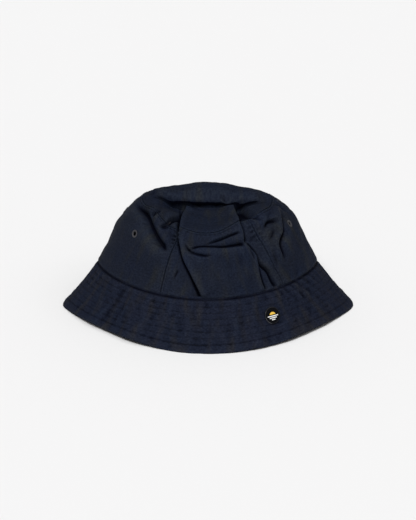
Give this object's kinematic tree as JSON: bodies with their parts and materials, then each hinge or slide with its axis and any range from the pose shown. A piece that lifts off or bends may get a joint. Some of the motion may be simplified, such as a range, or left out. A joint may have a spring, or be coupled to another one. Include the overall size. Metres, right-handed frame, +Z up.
{
  "type": "bucket hat",
  "caption": "Soft bucket hat with a sloping quilted brim, a slumped panelled crown with stitched eyelets, a sweatband inside and a round pin badge on the brim.",
  "frame": {"origin": "on the table, under the middle of the hat's bounding box", "axes": "+Z up, the wearer faces -Y, +X the wearer's left and along the hat's length"},
  "size_m": [0.277, 0.212, 0.1177],
  "materials": {
    "shell_fabric": "matte twill",
    "inner_fabric": "matte twill",
    "stiffener": "bonded interlining",
    "seam_tape": "plain woven tape",
    "eyelet_thread": "satin thread",
    "stitching": "thread",
    "sweatband_twill": "soft twill",
    "sweatband_backing": "brushed backing",
    "woven_label": "woven satin",
    "printed_label": "satin ribbon",
    "badge_metal": "polished",
    "black_enamel": "hard gloss",
    "yellow_enamel": "hard gloss",
    "white_enamel": "hard gloss",
    "clutch_brass": "satin"
  },
  "bodies": {
    "hat": {"top_panel": "shell_fabric", "front_panel": "shell_fabric", "left_side_panel": "shell_fabric", "right_side_panel": "shell_fabric", "back_panel": "shell_fabric", "top_seam_tape": "seam_tape", "front_left_seam_tape": "seam_tape", "front_right_seam_tape": "seam_tape", "back_left_seam_tape": "seam_tape", "back_right_seam_tape": "seam_tape", "front_left_eyelet": "eyelet_thread", "front_right_eyelet": "eyelet_thread", "back_left_eyelet": "eyelet_thread", "back_right_eyelet": "eyelet_thread", "brim_top_front": "shell_fabric", "brim_top_back": "shell_fabric", "brim_stiffener_front": "stiffener", "brim_stiffener_back": "stiffener", "brim_under_front": "inner_fabric", "brim_under_back": "inner_fabric", "hem_allowance_front": "shell_fabric", "hem_allowance_back": "shell_fabric", "sweatband": "sweatband_twill", "sweatband_backing": "sweatband_backing", "brand_label": "woven_label", "size_label": "woven_label", "care_label": "printed_label", "brim_stitching": "stitching", "crown_stitching": "stitching", "sweatband_stitching": "stitching"},
    "badge": {"badge_cup": "badge_metal", "badge_enamel": "black_enamel", "badge_sun": "yellow_enamel", "badge_horizon": "white_enamel", "badge_post": "badge_metal"},
    "clutch": {"clutch_base": "clutch_brass", "clutch_wings": "clutch_brass"}
  },
  "joints": [
    {"name": "badge_spin", "type": "hinge", "parent": "hat", "child": "badge", "pos_m": [0.06018, -0.07763, 0.025], "axis": [0.4797, -0.7721, 0.4169], "continuous": true},
    {"name": "clutch_slide", "type": "slide", "parent": "badge", "child": "clutch", "axis": [-0.4797, 0.7721, -0.4169], "range_m": [0, 0.01]}
  ]
}
